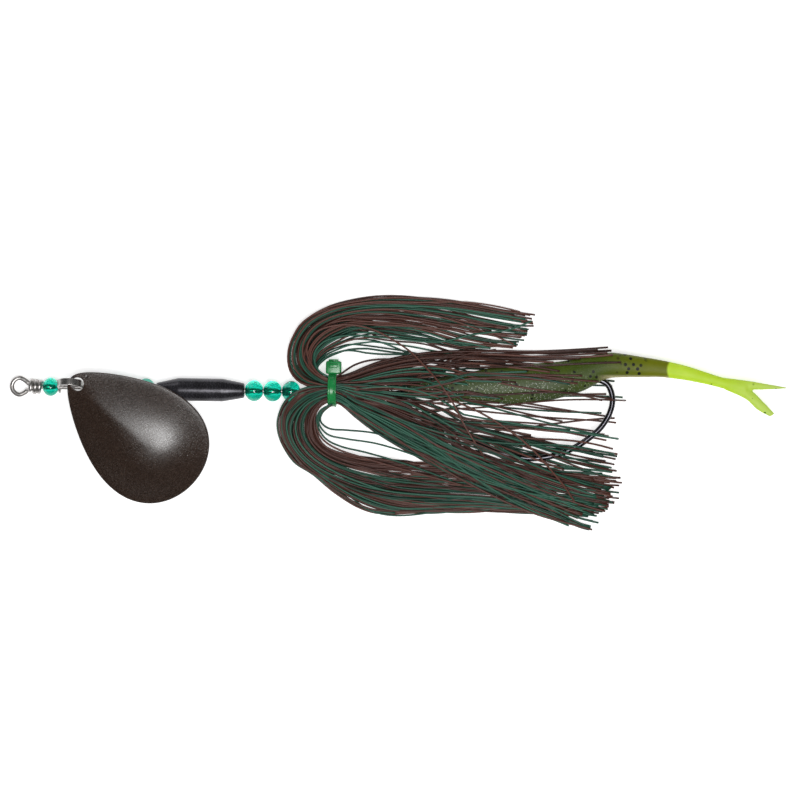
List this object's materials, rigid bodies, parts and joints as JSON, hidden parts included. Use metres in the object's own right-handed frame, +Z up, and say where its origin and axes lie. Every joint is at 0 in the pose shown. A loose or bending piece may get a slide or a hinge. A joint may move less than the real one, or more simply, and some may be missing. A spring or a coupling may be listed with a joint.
{
  "type": "inline spinnerbait fishing lure",
  "caption": "Inline spinner lure: wire shaft with glass beads, a dark domed blade on a clevis, a black weight, a tied strand skirt, and a hook with a split-tail soft trailer.",
  "frame": {"origin": "middle of the bounding box, on the surface the lure lies on", "axes": "+X from the line eye to the tail of the trailer, +Z up out of the surface, so the hook bends towards -Y"},
  "size_m": [0.2646, 0.0778, 0.0133],
  "materials": {
    "shaft_wire": "drawn stainless spring wire, polished by forming",
    "bead_glass": "transparent emerald glass with a drilled bore",
    "clevis_steel": "bright nickel-plated strip",
    "blade_powder_coat": "dark brown metallic powder coat, satin, finely speckled",
    "body_black": "satin black coat over a turned metal weight",
    "tie_nylon": "moulded green nylon, semi-gloss",
    "strands_brown": "satin brown silicone strands",
    "strands_green": "satin dark green silicone strands",
    "hook_black_nickel": "black nickel plating",
    "trailer_green": "translucent watermelon green soft plastic with silver and black flakes",
    "trailer_chartreuse": "translucent chartreuse dipped soft plastic"
  },
  "bodies": {
    "shaft": {"wire_shaft": "shaft_wire", "cable_tie": "tie_nylon", "skirt_upper_top_outer": "strands_brown", "skirt_upper_top_middle": "strands_green", "skirt_upper_top_inner": "strands_brown", "skirt_upper_bottom_outer": "strands_green", "skirt_upper_bottom_middle": "strands_brown", "skirt_upper_bottom_inner": "strands_green", "skirt_lower_top_outer": "strands_brown", "skirt_lower_top_middle": "strands_green", "skirt_lower_top_inner": "strands_brown", "skirt_lower_bottom_outer": "strands_green", "skirt_lower_bottom_middle": "strands_brown", "skirt_lower_bottom_inner": "strands_green"},
    "front_bead": {"bead_front": "bead_glass"},
    "clevis": {"clevis": "clevis_steel"},
    "blade": {"blade": "blade_powder_coat"},
    "mid_bead_1": {"bead_mid_1": "bead_glass"},
    "mid_bead_2": {"bead_mid_2": "bead_glass"},
    "mid_bead_3": {"bead_mid_3": "bead_glass"},
    "body": {"body_weight": "body_black"},
    "rear_bead_1": {"bead_rear_1": "bead_glass"},
    "rear_bead_2": {"bead_rear_2": "bead_glass"},
    "rear_bead_3": {"bead_rear_3": "bead_glass"},
    "hook": {"hook": "hook_black_nickel", "trailer_body": "trailer_green"},
    "tail": {"trailer_tail": "trailer_chartreuse"}
  },
  "joints": [
    {"name": "front_bead_spin", "type": "hinge", "parent": "shaft", "child": "front_bead", "pos_m": [-0.11825, 0.00584, 0.00332], "axis": [0.9993, 0, 0.0384], "continuous": true},
    {"name": "clevis_spin", "type": "hinge", "parent": "shaft", "child": "clevis", "pos_m": [-0.1112, 0.00584, 0.00359], "axis": [0.9993, 0, 0.0384], "continuous": true},
    {"name": "blade_swing", "type": "hinge", "parent": "clevis", "child": "blade", "pos_m": [-0.1114, 0.00696, 0.00886], "axis": [-0.008, -0.9781, 0.2078], "range_deg": [0, 100]},
    {"name": "mid_bead_1_spin", "type": "hinge", "parent": "shaft", "child": "mid_bead_1", "pos_m": [-0.09826, 0.00584, 0.00408], "axis": [0.9993, 0, 0.0384], "continuous": true},
    {"name": "mid_bead_2_spin", "type": "hinge", "parent": "shaft", "child": "mid_bead_2", "pos_m": [-0.09196, 0.00584, 0.00432], "axis": [0.9993, 0, 0.0384], "continuous": true},
    {"name": "mid_bead_3_spin", "type": "hinge", "parent": "shaft", "child": "mid_bead_3", "pos_m": [-0.08567, 0.00584, 0.00457], "axis": [0.9993, 0, 0.0384], "continuous": true},
    {"name": "body_spin", "type": "hinge", "parent": "shaft", "child": "body", "pos_m": [-0.06718, 0.00584, 0.00528], "axis": [0.9993, 0, 0.0384], "continuous": true},
    {"name": "rear_bead_1_spin", "type": "hinge", "parent": "shaft", "child": "rear_bead_1", "pos_m": [-0.0488, 0.00584, 0.00598], "axis": [0.9993, 0, 0.0384], "continuous": true},
    {"name": "rear_bead_2_spin", "type": "hinge", "parent": "shaft", "child": "rear_bead_2", "pos_m": [-0.0425, 0.00584, 0.00623], "axis": [0.9993, 0, 0.0384], "continuous": true},
    {"name": "rear_bead_3_spin", "type": "hinge", "parent": "shaft", "child": "rear_bead_3", "pos_m": [-0.03621, 0.00584, 0.00647], "axis": [0.9993, 0, 0.0384], "continuous": true},
    {"name": "hook_lift", "type": "hinge", "parent": "shaft", "child": "hook", "pos_m": [-0.00192, 0.00584, 0.00801], "axis": [0.0941, -0.9956, 0], "range_deg": [0, 75]},
    {"name": "tail_flex", "type": "hinge", "parent": "hook", "child": "tail", "pos_m": [0.08528, 0.01634, 0.00801], "axis": [0, -1, 0], "range_deg": [-30, 30], "stiffness_Nm_per_rad": 0.004}
  ]
}
